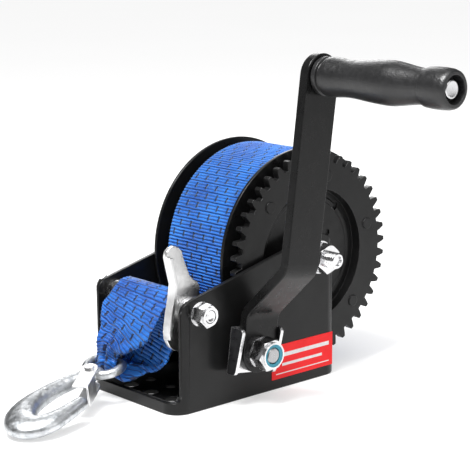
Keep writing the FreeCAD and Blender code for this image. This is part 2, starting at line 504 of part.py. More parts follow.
# forged body from the eye round the bowl to the point: u, v, half width in the hook's plane, half thickness
BODY = [(16.5, 0.5, 4.4, 4.4), (22, -2.6, 4.7, 4.6), (30, -6.0, 5.0, 4.7), (40, -8.8, 5.4, 4.9), (50, -10.3, 6.0, 5.2), (60, -10.6, 7.0, 5.6),
        (69, -9.3, 8.3, 5.8), (76, -6.2, 9.3, 5.9), (80.5, -1.5, 9.8, 5.9), (81, 3.6, 9.4, 5.8), (77.5, 8.4, 8.4, 5.5), (71, 11.8, 7.2, 5.1),
        (62, 13.4, 6.0, 4.7), (54, 13.9, 5.1, 4.4), (47.5, 14.0, 4.4, 4.1)]
def oval(i):
    u, v, a, b = BODY[i]
    u0, v0 = BODY[max(0, i - 1)][:2]
    u1, v1 = BODY[min(len(BODY) - 1, i + 1)][:2]
    l = math.hypot(u1 - u0, v1 - v0)
    su, sv = (v1 - v0) / l, -(u1 - u0) / l
    pts = [hp(u + su * a * math.cos(q), v + sv * a * math.cos(q), b * math.sin(q)) for q in [2 * math.pi * k / 16 for k in range(16)]]
    return Part.makePolygon(pts + [pts[0]])
body = Part.makeLoft([oval(i) for i in range(len(BODY))], True, True)
hk = hk.fuse(body).fuse(ball(hp(47.5, 14.0), 4.1)).fuse(ball(hp(16.5, 0.5), 4.3))
# flat for the latch at the neck
PIV = (21.0, 0.6)
hk = hk.cut(Part.makeCylinder(1.7, 40, hp(PIV[0], PIV[1], -20), W))
parts["hook"] = hk

# latch: sheet-metal channel that closes the throat, pivoted on a rivet through the neck
tipu, tipv = 41.5, 8.6
ld = D * (tipu - PIV[0]) + N * (tipv - PIV[1])
LL = ld.Length
ld.normalize()
lw = W.cross(ld)
def lp(s, q, w):
    return hp(PIV[0], PIV[1]) + ld * s + lw * q + W * w
def box3(s0, s1, q0, q1, w0, w1):
    f = Part.Face(Part.makePolygon([lp(s0, q0, w0), lp(s1, q0, w0), lp(s1, q1, w0), lp(s0, q1, w0), lp(s0, q0, w0)]))
    return f.extrude(W * (w1 - w0))
cheek, lt = 5.4, 1.2       # half width inside the channel, sheet thickness
lat = box3(0, LL, -4.2, 5.4, cheek, cheek + lt).fuse(box3(0, LL, -4.2, 5.4, -cheek - lt, -cheek))
for w0 in (cheek, -cheek - lt):
    lat = lat.fuse(Part.makeCylinder(5.0, lt, lp(0, 0, w0), W))
lat = lat.fuse(box3(7.5, LL, 4.2, 5.4, -cheek - lt, cheek + lt))
lat = lat.cut(Part.makeCylinder(1.76, 60, lp(0, 0, -30), W))
parts["hook_latch"] = single(lat)
pin_ = Part.makeCylinder(1.7, 2 * (cheek + lt) + 1.2, lp(0, 0, -cheek - lt - 0.6), W)
for w0 in (cheek + lt + 0.1, -cheek - lt - 1.0):
    pin_ = pin_.fuse(Part.makeCylinder(2.8, 0.9, lp(0, 0, w0), W))
parts["latch_rivet"] = single(pin_)

for name, s in parts.items():
    s.exportStep(os.path.join("parts", name + ".step"))
print("axes drum", DRUM_X, DRUM_Z, "shaft", round(SX, 3), round(SZ, 3), "handle", round(HX, 3), round(HZ, 3), "piv", [round(c, 3) for c in hp(*PIV)],
      "D", [round(c, 4) for c in D], "N", [round(c, 4) for c in N], "W", [round(c, 4) for c in W], "count", len(parts))
for name, s in parts.items():
    if not s.isValid() or s.Volume <= 0 or len(s.Solids) == 0:
        print("BAD", name, s.isValid(), s.Volume, len(s.Solids))
    print(name, len(s.Solids), round(s.Volume), [round(c, 1) for c in (s.BoundBox.XMin, s.BoundBox.XMax, s.BoundBox.YMin, s.BoundBox.YMax, s.BoundBox.ZMin, s.BoundBox.ZMax)])
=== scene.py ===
# Looks of a hand-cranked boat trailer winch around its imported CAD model.
import bpy, bmesh, math
from mathutils import Vector, Matrix, noise


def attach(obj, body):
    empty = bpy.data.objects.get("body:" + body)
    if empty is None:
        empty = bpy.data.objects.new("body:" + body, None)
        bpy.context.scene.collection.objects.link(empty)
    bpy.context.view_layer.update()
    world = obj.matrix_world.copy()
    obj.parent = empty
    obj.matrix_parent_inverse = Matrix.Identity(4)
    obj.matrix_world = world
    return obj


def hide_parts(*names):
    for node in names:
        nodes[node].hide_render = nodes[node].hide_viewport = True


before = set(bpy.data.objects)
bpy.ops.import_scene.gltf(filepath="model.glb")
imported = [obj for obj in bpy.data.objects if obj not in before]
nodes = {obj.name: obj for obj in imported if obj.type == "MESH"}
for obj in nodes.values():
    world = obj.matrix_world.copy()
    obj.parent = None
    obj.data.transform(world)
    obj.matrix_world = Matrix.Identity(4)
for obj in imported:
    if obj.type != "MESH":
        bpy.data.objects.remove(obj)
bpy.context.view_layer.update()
scene = bpy.context.scene
MM = 0.001

# ------------------------------------------------------------------ places taken from the CAD design (mm)
DRUM = (47.0, 76.0)
SHAFT = (-12.033, 30.964)
TIE = (-48.0, 58.0)
HANDLE = (10.444, 190.893)
B = Vector((-70.0, 13.0, 22.5))
_hd, _hl = math.radians(11.5), math.hypot(0.965, 0.264)
_hx, _hy = -0.965 / _hl, -0.264 / _hl
D = Vector((_hx * math.cos(_hd), _hy * math.cos(_hd), -math.sin(_hd)))
N = Vector((-_hy, _hx, 0.0))
W = D.cross(N).normalized()
_ro = math.radians(-3.0)
N, W = N * math.cos(_ro) + W * math.sin(_ro), W * math.cos(_ro) - N * math.sin(_ro)


def hp(u, v, w=0.0):
    return B + D * u + N * v + W * w


# ------------------------------------------------------------------ node helpers
class Tree:
    def __init__(self, name):
        self.mat = bpy.data.materials.new(name)
        self.mat.use_nodes = True
        self.nt = self.mat.node_tree
        self.nt.nodes.clear()
        self.out = self.nt.nodes.new("ShaderNodeOutputMaterial")
        self.bsdf = self.nt.nodes.new("ShaderNodeBsdfPrincipled")
        self.nt.links.new(self.bsdf.outputs[0], self.out.inputs[0])
        self.tc = self.nt.nodes.new("ShaderNodeTexCoord")

    def n(self, kind, **kw):
        x = self.nt.nodes.new(kind)
        for k, v in kw.items():
            setattr(x, k, v)
        return x

    def l(self, a, b):
        self.nt.links.new(a, b)

    def noise(self, scale, detail=3.0, rough=0.5, vec=None, dist=0.0):
        x = self.n("ShaderNodeTexNoise")
        x.inputs["Scale"].default_value = scale
        x.inputs["Detail"].default_value = detail
        x.inputs["Roughness"].default_value = rough
        x.inputs["Distortion"].default_value = dist
        self.l(vec if vec is not None else self.tc.outputs["Object"], x.inputs["Vector"])
        return x.outputs[0]

    def voronoi(self, scale, feature="F1", vec=None):
        x = self.n("ShaderNodeTexVoronoi", feature=feature)
        x.inputs["Scale"].default_value = scale
        self.l(vec if vec is not None else self.tc.outputs["Object"], x.inputs["Vector"])
        return x

    def math(self, op, a, b=None, c=None, clamp=False):
        x = self.n("ShaderNodeMath", operation=op, use_clamp=clamp)
        for i, v in enumerate((a, b, c)):
            if v is None:
                continue
            if isinstance(v, (int, float)):
                x.inputs[i].default_value = v
            else:
                self.l(v, x.inputs[i])
        return x.outputs[0]

    def ramp(self, fac, lo, hi, a=0.0, b=1.0, smooth=True):
        x = self.n("ShaderNodeMapRange", interpolation_type="SMOOTHSTEP" if smooth else "LINEAR")
        self.l(fac, x.inputs["Value"])
        x.inputs["From Min"].default_value = lo
        x.inputs["From Max"].default_value = hi
        x.inputs["To Min"].default_value = a
        x.inputs["To Max"].default_value = b
        return x.outputs[0]

    def mix(self, fac, a, b):
        x = self.n("ShaderNodeMix", data_type="RGBA")
        for s, v in ((x.inputs[0], fac), (x.inputs[6], a), (x.inputs[7], b)):
            if isinstance(v, (int, float)):
                s.default_value = v
            elif isinstance(v, tuple):
                s.default_value = (*v, 1.0)
            else:
                self.l(v, s)
        return x.outputs[2]

    def bump(self, height, strength, dist, normal=None):
        x = self.n("ShaderNodeBump")
        x.inputs["Strength"].default_value = strength
        x.inputs["Distance"].default_value = dist
        self.l(height, x.inputs["Height"])
        if normal is not None:
            self.l(normal, x.inputs["Normal"])
        return x.outputs[0]

    def edge(self, radius):
        """0 on flats, up to 1 on outside and inside corners"""
        bv = self.n("ShaderNodeBevel", samples=6)
        bv.inputs["Radius"].default_value = radius
        g = self.n("ShaderNodeNewGeometry")
        d = self.n("ShaderNodeVectorMath", operation="DOT_PRODUCT")
        self.l(bv.outputs[0], d.inputs[0])
        self.l(g.outputs["Normal"], d.inputs[1])
        return self.ramp(self.math("SUBTRACT", 1.0, d.outputs["Value"]), 0.01, 0.22)

    def set(self, **kw):
        for k, v in kw.items():
            self.bsdf.inputs[k.replace("_", " ")].default_value = v


def powder(name, base, rough=0.36, peel=0.5, edge_wear_highlight=0.35, tint=(1.0, 1.0, 1.02), spec=0.22):
    t = Tree(name)
    big = t.noise(22.0, 4.0, 0.6)
    fine = t.noise(900.0, 2.0, 0.5)
    mid = t.noise(160.0, 3.0, 0.55)
    c0 = tuple(base * 0.78 * k for k in tint)
    c1 = tuple(base * 1.25 * k for k in tint)
    col = t.mix(t.ramp(big, 0.3, 0.7), c0, c1)
    e = t.edge(0.0006)
    # edges painted a lighter grey: partly rubbed paint, partly painted highlight
    wear_and_edge_highlight = t.math("MULTIPLY", e, t.ramp(mid, 0.35, 0.7, 0.25, 1.0))
    col = t.mix(t.math("MULTIPLY", wear_and_edge_highlight, edge_wear_highlight), col, (0.30, 0.30, 0.31))
    dust = t.voronoi(420.0)
    speck = t.ramp(dust.outputs["Distance"], 0.02, 0.07, 1.0, 0.0)
    speck = t.math("MULTIPLY", speck, t.ramp(t.noise(60.0, 2.0), 0.58, 0.7))
    col = t.mix(t.math("MULTIPLY", speck, 0.25), col, (0.16, 0.16, 0.16))
    t.l(col, t.bsdf.inputs["Base Color"])
    r = t.math("ADD", t.ramp(mid, 0.3, 0.7, rough - 0.05, rough + 0.06), t.math("MULTIPLY", e, -0.08))
    t.l(r, t.bsdf.inputs["Roughness"])
    nrm = t.bump(mid, 0.10 * peel, 0.0006)
    nrm = t.bump(fine, 0.16 * peel, 0.00012, nrm)
    t.l(nrm, t.bsdf.inputs["Normal"])
    t.set(Coat_Weight=0.05, Coat_Roughness=0.14, Specular_IOR_Level=spec)
    return t.mat


def zinc(name, base=(0.74, 0.75, 0.77), rough=0.24, satin=0.0, grime=0.5):
    t = Tree(name)
    big = t.noise(55.0, 4.0, 0.6, dist=0.6)
    mid = t.noise(240.0, 3.0, 0.6)
    fine = t.noise(1400.0, 2.0, 0.5)
    c0 = tuple(k * 0.80 for k in base)
    col = t.mix(t.ramp(big, 0.32, 0.68), c0, base)
    e = t.edge(0.0005)
    # painted highlight: edges lightened towards pale grey
    col = t.mix(t.math("MULTIPLY", e, 0.45), col, (0.92, 0.92, 0.92))
    dirt = t.math("MULTIPLY", t.ramp(mid, 0.56, 0.74), grime)
    col = t.mix(dirt, col, tuple(k * 0.45 for k in base))
    t.l(col, t.bsdf.inputs["Base Color"])
    t.l(t.ramp(mid, 0.25, 0.75, rough - 0.06, rough + 0.12), t.bsdf.inputs["Roughness"])
    nrm = t.bump(mid, 0.10 + satin * 0.2, 0.0004)
    nrm = t.bump(fine, 0.10 + satin * 0.3, 0.0001, nrm)
    t.l(nrm, t.bsdf.inputs["Normal"])
    t.set(Metallic=1.0)
    return t.mat


def galvanised(name):
    t = Tree(name)
    cells = t.voronoi(150.0)
    big = t.noise(70.0, 5.0, 0.65, dist=0.8)
    mid = t.noise(330.0, 4.0, 0.65)
    fine = t.noise(1100.0, 3.0, 0.6)
    col = t.mix(t.ramp(big, 0.35, 0.65), (0.36, 0.375, 0.39), (0.58, 0.60, 0.62))
    col = t.mix(t.math("MULTIPLY", t.ramp(mid, 0.5, 0.64), 0.55), col, (0.30, 0.32, 0.34))
    col = t.mix(t.math("MULTIPLY", t.ramp(cells.outputs["Distance"], 0.1, 0.6), 0.2), col, (0.9, 0.9, 0.9))
    e = t.edge(0.0009)
    # painted highlight: edges lightened towards pale grey
    col = t.mix(t.math("MULTIPLY", e, 0.35), col, (0.92, 0.92, 0.92))
    t.l(col, t.bsdf.inputs["Base Color"])
    t.l(t.ramp(mid, 0.3, 0.7, 0.31, 0.50), t.bsdf.inputs["Roughness"])
    nrm = t.bump(big, 0.14, 0.0010)
    nrm = t.bump(mid, 0.35, 0.0004, nrm)
    nrm = t.bump(fine, 0.25, 0.00012, nrm)
    t.l(nrm, t.bsdf.inputs["Normal"])
    t.set(Metallic=1.0)
    return t.mat


ROW, TICK = 0.0063, 0.0092          # webbing: tick row pitch and tick spacing
RIB = ROW / 3                       # fine rib pitch


def webbing(name):
    """woven polyester: the 'lay' attribute holds metres across and along the strap"""
    t = Tree(name)
    at = t.n("ShaderNodeAttribute", attribute_name="lay", attribute_type="GEOMETRY")
    sep = t.n("ShaderNodeSeparateXYZ")
    t.l(at.outputs["Vector"], sep.inputs[0])
    u, v = sep.outputs[0], sep.outputs[1]
    wob = t.noise(180.0, 2.0)
    wobble = t.math("MULTIPLY", t.math("SUBTRACT", wob, 0.5), 0.0007)
    v2 = t.math("ADD", v, wobble)
    # ribs: 0 in the furrow, 1 on the crown
    ribp = t.math("FRACT", t.math("DIVIDE", v2, RIB))
    rib = t.math("SINE", t.math("MULTIPLY", ribp, math.pi))
    furrow_shade = t.ramp(rib, 0.0, 0.42, 1.0, 0.0)
    # deeper groove between tick rows, also darkened as painted shade
    rowp = t.math("FRACT", t.math("DIVIDE", v2, ROW))
    rown = t.math("FLOOR", t.math("DIVIDE", v2, ROW))
    row_groove_and_shade = t.ramp(t.math("ABSOLUTE", t.math("SUBTRACT", rowp, 0.5)), 0.43, 0.5)
    # staggered ticks
    half = t.math("MULTIPLY", t.math("PINGPONG", rown, 1.0), 0.5)
    tp = t.math("FRACT", t.math("ADD", t.math("DIVIDE", u, TICK), half))
    tick = t.ramp(t.math("ABSOLUTE", t.math("SUBTRACT", tp, 0.5)), 0.058, 0.100, 1.0, 0.0)
    tick = t.math("MULTIPLY", tick, t.ramp(t.math("ABSOLUTE", t.math("SUBTRACT", rowp, 0.5)), 0.26, 0.36, 1.0, 0.0))
    # yarns running along the strap, seen as fine grain across the ribs
    grain = t.math("SINE", t.math("MULTIPLY", u, 2 * math.pi / 0.00085))
    grain = t.ramp(grain, -1.0, 1.0)
    col = t.mix(t.ramp(t.noise(45.0, 3.0), 0.3, 0.7), (0.0035, 0.076, 0.38), (0.010, 0.178, 0.66))
    col = t.mix(t.math("MULTIPLY", grain, 0.30), col, (0.004, 0.040, 0.24))
    yarn = t.noise(700.0, 2.0)
    col = t.mix(t.math("MULTIPLY", t.ramp(yarn, 0.45, 0.75), 0.30), col, (0.05, 0.26, 0.72))
    # painted shade: the furrows between ribs and the grooves between tick rows are darkened
    col = t.mix(t.math("MULTIPLY", furrow_shade, 0.80), col, (0.001, 0.010, 0.10))
    col = t.mix(t.math("MULTIPLY", row_groove_and_shade, 0.75), col, (0.001, 0.008, 0.08))
    col = t.mix(t.math("MULTIPLY", tick, 0.93), col, (0.002, 0.004, 0.03))
    t.l(col, t.bsdf.inputs["Base Color"])
    t.l(t.ramp(yarn, 0.3, 0.7, 0.34, 0.52), t.bsdf.inputs["Roughness"])
    h = t.math("ADD", rib, t.math("MULTIPLY", grain, 0.35))
    h = t.math("SUBTRACT", h, t.math("MULTIPLY", tick, 1.6))
    h = t.math("SUBTRACT", h, t.math("MULTIPLY", row_groove_and_shade, 0.5))
    nrm = t.bump(h, 0.85, 0.00075)
    nrm = t.bump(yarn, 0.25, 0.0001, nrm)
    t.l(nrm, t.bsdf.inputs["Normal"])
    t.set(Sheen_Weight=0.20, Sheen_Roughness=0.30, Specular_IOR_Level=0.42)
    t.bsdf.inputs["Sheen Tint"].default_value = (0.60, 0.85, 1.0, 1.0)
    return t.mat


def edged_plate(name):
    """dark sheet; faces square to the Y axis and the corners are bright metal"""
    t = Tree(name)
    mid = t.noise(260.0, 3.0, 0.6)
    sep = t.n("ShaderNodeSeparateXYZ")
    t.l(t.tc.outputs["Normal"], sep.inputs[0])
    cut = t.ramp(t.math("ABSOLUTE", sep.outputs[1]), 0.25, 0.6)
    cut = t.math("MAXIMUM", cut, t.math("MULTIPLY", t.edge(0.0006), 0.9))
    dark = t.mix(t.ramp(mid, 0.3, 0.7), (0.010, 0.010, 0.011), (0.018, 0.018, 0.019))
    col = t.mix(cut, dark, (0.80, 0.80, 0.81))
    t.l(col, t.bsdf.inputs["Base Color"])
    t.l(cut, t.bsdf.inputs["Metallic"])
    t.l(t.ramp(mid, 0.3, 0.7, 0.26, 0.40), t.bsdf.inputs["Roughness"])
    t.l(t.bump(mid, 0.15, 0.0003), t.bsdf.inputs["Normal"])
    t.set(Specular_IOR_Level=0.35)
    return t.mat


def plastic(name, base, rough, grain, spec=0.4):
    t = Tree(name)
    big = t.noise(35.0, 4.0, 0.6)
    fine = t.voronoi(1300.0)
    mid = t.noise(420.0, 3.0, 0.6)
    col = t.mix(t.ramp(big, 0.3, 0.7), tuple(k * 0.8 for k in base), tuple(k * 1.3 for k in base))
    e = t.edge(0.0006)
    # painted highlight: edges lightened
    col = t.mix(t.math("MULTIPLY", e, 0.25), col, tuple(min(1.0, k * 4 + 0.02) for k in base))
    t.l(col, t.bsdf.inputs["Base Color"])
    t.l(t.ramp(mid, 0.3, 0.7, rough - 0.06, rough + 0.08), t.bsdf.inputs["Roughness"])
    nrm = t.bump(fine.outputs["Distance"], grain, 0.00015)
    nrm = t.bump(mid, grain * 0.6, 0.0003, nrm)
    t.l(nrm, t.bsdf.inputs["Normal"])
    t.set(Specular_IOR_Level=spec)
    return t.mat


def machined(name, base=(0.42, 0.42, 0.43), rough=0.3):
    """turned steel: fine rings round the Y axis"""
    t = Tree(name)
    sep = t.n("ShaderNodeSeparateXYZ")
    t.l(t.tc.outputs["Object"], sep.inputs[0])
    comb = t.n("ShaderNodeCombineXYZ")
    t.l(t.math("MULTIPLY", sep.outputs[1], 3500.0), comb.inputs[1])
    rings = t.noise(1.0, 4.0, 0.7, vec=comb.outputs[0])
    mid = t.noise(150.0, 3.0)
    col = t.mix(t.ramp(rings, 0.3, 0.7), tuple(k * 0.7 for k in base), tuple(min(1.0, k * 1.3) for k in base))
    col = t.mix(t.math("MULTIPLY", t.ramp(mid, 0.55, 0.75), 0.5), col, (0.06, 0.055, 0.05))
    t.l(col, t.bsdf.inputs["Base Color"])
    t.l(t.ramp(mid, 0.3, 0.7, rough - 0.08, rough + 0.15), t.bsdf.inputs["Roughness"])
    t.l(t.bump(rings, 0.15, 0.0001), t.bsdf.inputs["Normal"])
    t.set(Metallic=1.0)
    return t.mat


def label_mat(name):
    """red vinyl with plain white stripes"""
    t = Tree(name)
    sep = t.n("ShaderNodeSeparateXYZ")
    t.l(t.tc.outputs["Object"], sep.inputs[0])
    x = t.math("MULTIPLY", sep.outputs[0], 1000.0)
    z = t.math("MULTIPLY", sep.outputs[2], 1000.0)

    def band(c, lo, hi, soft=0.12):
        a = t.ramp(c, lo - soft, lo + soft)
        b = t.ramp(c, hi - soft, hi + soft, 1.0, 0.0)
        return t.math("MULTIPLY", a, b)
    stripes = t.math("ADD", t.math("MULTIPLY", band(z, 19.3, 21.7), band(x, 13.0, 56.5)),
                     t.math("ADD", t.math("MULTIPLY", band(z, 13.6, 15.3), band(x, 17.0, 50.5)),
                            t.math("MULTIPLY", band(z, 8.9, 9.5), band(x, 12.0, 56.5))), clamp=True)
    scuff = t.noise(500.0, 4.0, 0.7)
    red = t.mix(t.ramp(t.noise(40.0, 3.0), 0.3, 0.7), (0.76, 0.006, 0.009), (0.88, 0.010, 0.013))
    white = t.mix(t.ramp(scuff, 0.3, 0.8), (0.70, 0.68, 0.68), (0.82, 0.80, 0.80))
    col = t.mix(stripes, red, white)
    col = t.mix(t.math("MULTIPLY", t.ramp(scuff, 0.68, 0.8), 0.5), col, (0.45, 0.1, 0.1))
    t.l(col, t.bsdf.inputs["Base Color"])
    t.l(t.ramp(scuff, 0.3, 0.7, 0.30, 0.42), t.bsdf.inputs["Roughness"])
    t.l(t.bump(t.noise(120.0, 2.0), 0.06, 0.0004), t.bsdf.inputs["Normal"])
    t.set(Specular_IOR_Level=0.25)
    return t.mat


M = {
    "frame": powder("m_frame_powder_coat", 0.0070, 0.33, 0.5, 0.6),
    "drum": powder("m_drum_powder_coat", 0.0060, 0.32, 0.6, 0.5),
    "gear": powder("m_gear_powder_coat", 0.0065, 0.36, 0.8, 0.6),
    "arm": powder("m_arm_powder_coat", 0.0055, 0.30, 0.5, 1.0),
    "zinc": zinc("m_bright_zinc", (0.78, 0.78, 0.79), 0.17, 0.0, 0.35),
    "stamp": zinc("m_stamped_zinc", (0.86, 0.86, 0.86), 0.34, 0.5, 0.22),
    "edged": edged_plate("m_bracket_plate"),
    "galv": galvanised("m_galvanised_forging"),
    "steel": machined("m_turned_steel"),
    "bushing": plastic("m_dark_bushing", (0.030, 0.030, 0.031), 0.38, 0.2),
    "nylon": plastic("m_nylon_insert", (0.04, 0.26, 0.36), 0.42, 0.1),
    "grip": plastic("m_grip_plastic", (0.013, 0.013, 0.0135), 0.34, 0.55, 0.5),
    "web": webbing("m_blue_webbing"),
    "label": label_mat("m_label_vinyl"),
}
thread_t = Tree("m_sewing_thread")
_c = thread_t.mix(thread_t.noise(2500.0, 2.0), (0.02, 0.07, 0.34), (0.05, 0.16, 0.62))
thread_t.l(_c, thread_t.bsdf.inputs["Base Color"])
thread_t.l(thread_t.bump(thread_t.noise(3000.0), 0.4, 0.0001), thread_t.bsdf.inputs["Normal"])
thread_t.set(Roughness=0.6, Sheen_Weight=0.3)
M["thread"] = thread_t.mat

# ------------------------------------------------------------------ CAD nodes keep their shape; edges are softened and painted
FINISH = {
    "frame": ("frame", 0.55), "plate_label": ("label", 0), "axle_nut": ("zinc", 0), "axle_washers": ("zinc", 0),
    "axle_sleeve": ("steel", 0.3), "tie_nut": ("zinc", 0), "tie_washers": ("zinc", 0), "tie_spacer": ("zinc", 0.3),
    "shaft_bushings": ("bushing", 0.3), "drum_core": ("drum", 0.3), "drum_flange_far": ("drum", 0.8), "drum_flange_near": ("drum", 0.5),
    "drum_gear": ("gear", 0.28), "gear_rivets": ("gear", 0), "drum_bushings": ("bushing", 0), "strap_anchor_pin": ("steel", 0),
    "pinion_shaft": ("steel", 0), "ratchet_wheel": ("stamp", 0.2), "shaft_clip": ("steel", 0), "hub_spacer": ("zinc", 0.3),
    "drive_bracket": ("edged", 0.3), "crank_arm": ("arm", 0.75), "crank_washer": ("zinc", 0), "crank_nut": ("zinc", 0),
    "nut_insert": ("nylon", 0), "handle_nut": ("zinc", 0), "grip": ("grip", 0.3), "pawl": ("stamp", 0.5), "pawl_hub": ("stamp", 0.3),
    "latch_rivet": ("zinc", 0), "hook_latch": ("stamp", 0.3), "hook": ("galv", 0), "strap_roll": ("web", 0), "strap_tail": ("web", 0),
    "strap_loop": ("web", 0), "axle_bolt": ("zinc", 0), "tie_bolt": ("zinc", 0), "handle_bolt": ("zinc", 0), "pawl_spring": ("steel", 0),
}


def soften(o, width, angle=32.0):
    """welded, bevelled edges with even shading; the mesh itself is untouched"""
    w = o.modifiers.new("weld", "WELD")
    w.merge_threshold = 2e-6
    d = o.modifiers.new("flats", "DECIMATE")
    d.decimate_type = "DISSOLVE"
    d.angle_limit = math.radians(0.4)
    if width:
        b = o.modifiers.new("edges", "BEVEL")
        b.width = width * MM
        b.segments = 3
        b.limit_method = "ANGLE"
        b.angle_limit = math.radians(angle)
        b.use_clamp_overlap = False
        b.miter_outer = "MITER_ARC"
        b.harden_normals = False
    n_ = o.modifiers.new("shade", "WEIGHTED_NORMAL")
    n_.keep_sharp = True
    n_.weight = 80


for name, (key, width) in FINISH.items():
    o = nodes[name]
    o.data.materials.clear()
    o.data.materials.append(M[key])
    if "custom_normal" in o.data.attributes:
        o.data.attributes.remove(o.data.attributes["custom_normal"])
    for p in o.data.polygons:
        p.use_smooth = True
    if width:
        soften(o, width)
    else:
        o.data.set_sharp_from_angle(angle=math.radians(26))


def new_obj(name, verts, faces, mat, smooth=True, lay=None):
    me = bpy.data.meshes.new(name)
    me.from_pydata([tuple(v) for v in verts], [], faces)
    me.update()
    if lay is not None:
        a = me.attributes.new("lay", "FLOAT_VECTOR", "POINT")
        a.data.foreach_set("vector", [c for p in lay for c in (p[0], p[1], 0.0)])
    for p in me.polygons:
        p.use_smooth = smooth
    me.materials.append(mat)
    o = bpy.data.objects.new(name, me)
    scene.collection.objects.link(o)
    return o


def bake(o):
    """applies every modifier"""
    dg = bpy.context.evaluated_depsgraph_get()
    me = bpy.data.meshes.new_from_object(o.evaluated_get(dg))
    old = o.data
    o.modifiers.clear()
    o.data = me
    bpy.data.meshes.remove(old)
    return o


# ------------------------------------------------------------------ wound strap
def wound_strap():
    R0, R1 = 16.0, 63.0
    Y0, Y1 = -24.2, 25.6
    circ = 2 * math.pi * R1 * MM
    rows = round(circ / ROW)
    rows += rows % 2                      # an even number, so that the staggered rows meet
    ribs = rows * 3
    seg = ribs * 6
    pitch = circ / rows
    prof = []                             # (r, y, u across, kind)
    n_u = 26
    layers = 28
    for i in range(layers + 1):           # near cheek, from the core outwards, one ridge per wound layer
        r = R0 + (R1 - 1.0 - R0) * i / layers
        prof.append((r, Y0 + 0.45, 0.0, 0))
        if i < layers:
            prof.append((r + (R1 - 1 - R0) / layers * 0.5, Y0 + 0.02, 0.0, 0))
    prof.append((R1 - 0.45, Y0 + 0.10, 0.0, 0))
    for i in range(n_u + 1):
        f = i / n_u
        prof.append((R1, Y0 + 0.35 + (Y1 - Y0 - 0.7) * f, f * (Y1 - Y0) * MM, 1))
    prof.append((R1 - 0.45, Y1 - 0.10, 0.0, 0))
    for i in range(layers, -1, -1):
        r = R0 + (R1 - 1.0 - R0) * i / layers
        if i < layers:
            prof.append((r + (R1 - 1 - R0) / layers * 0.5, Y1 - 0.02, 0.0, 0))
        prof.append((r, Y1 - 0.45, 0.0, 0))
    m = len(prof)
    verts, lay, faces = [], [], []
    for k in range(seg):
        a = 2 * math.pi * k / seg
        ph = (k / 6.0) % 1.0
        rib = abs(math.sin(math.pi * ph))
        along = a * R1 * MM
        slack = 0.18 * noise.noise(Vector((math.cos(a) * 2.1, math.sin(a) * 2.1, 3.0)))
        for r, y, u, kind in prof:
            rr = r
            if kind:
                edge = min(1.0, min(u, 0.0498 - u) / 0.0012)
                rr = r + 0.40 * (rib - 0.7) + slack - 0.10 * (1 - edge)
                y = y + 0.10 * noise.noise(Vector((a * 7, u * 90, 1.0)))
            else:
                y = y + 0.16 * noise.noise(Vector((math.cos(a) * 3 + r * 0.7, math.sin(a) * 3, r * 0.9)))
            verts.append(Vector((DRUM[0] + rr * math.cos(a), y, DRUM[1] + rr * math.sin(a))) * MM)
            lay.append((u if kind else 0.1 + r * MM * 0.03, along * (rows * ROW / circ)))
    for k in range(seg):
        k2 = (k + 1) % seg
        for i in range(m):
            i2 = (i + 1) % m
            faces.append((k * m + i, k * m + i2, k2 * m + i2, k2 * m + i))
    o = new_obj("wound_strap", verts, faces, M["web"], lay=lay)
    bm = bmesh.new(); bm.from_mesh(o.data)
    bmesh.ops.recalc_face_normals(bm, faces=bm.faces)
    bm.to_mesh(o.data); bm.free()
    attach(o, "drum")
    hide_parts("strap_roll")
    return o


# ------------------------------------------------------------------ free end of the strap
def catmull(pts, step):
    """evenly spaced points along a smooth line through pts"""
    out = []
    n = len(pts)
    for i in range(n - 1):
        p0, p1, p2, p3 = pts[max(0, i - 1)], pts[i], pts[i + 1], pts[min(n - 1, i + 2)]
        for k in range(40):
            t = k / 40
            out.append(0.5 * ((2 * p1) + (p2 - p0) * t + (2 * p0 - 5 * p1 + 4 * p2 - p3) * t * t + (3 * p1 - p0 - 3 * p2 + p3) * t ** 3))
    out.append(pts[-1].copy())
    res, acc, last = [out[0]], 0.0, out[0]
    for p in out[1:]:
        seg = (p - last).length
        while acc + seg >= step:
            f = (step - acc) / seg
            q = last.lerp(p, f)
            res.append(q)
            last, seg, acc = q, (p - q).length, 0.0
        acc += seg
        last = p
    return res


def smooth01(x):
    x = max(0.0, min(1.0, x))
    return x * x * (3 - 2 * x)


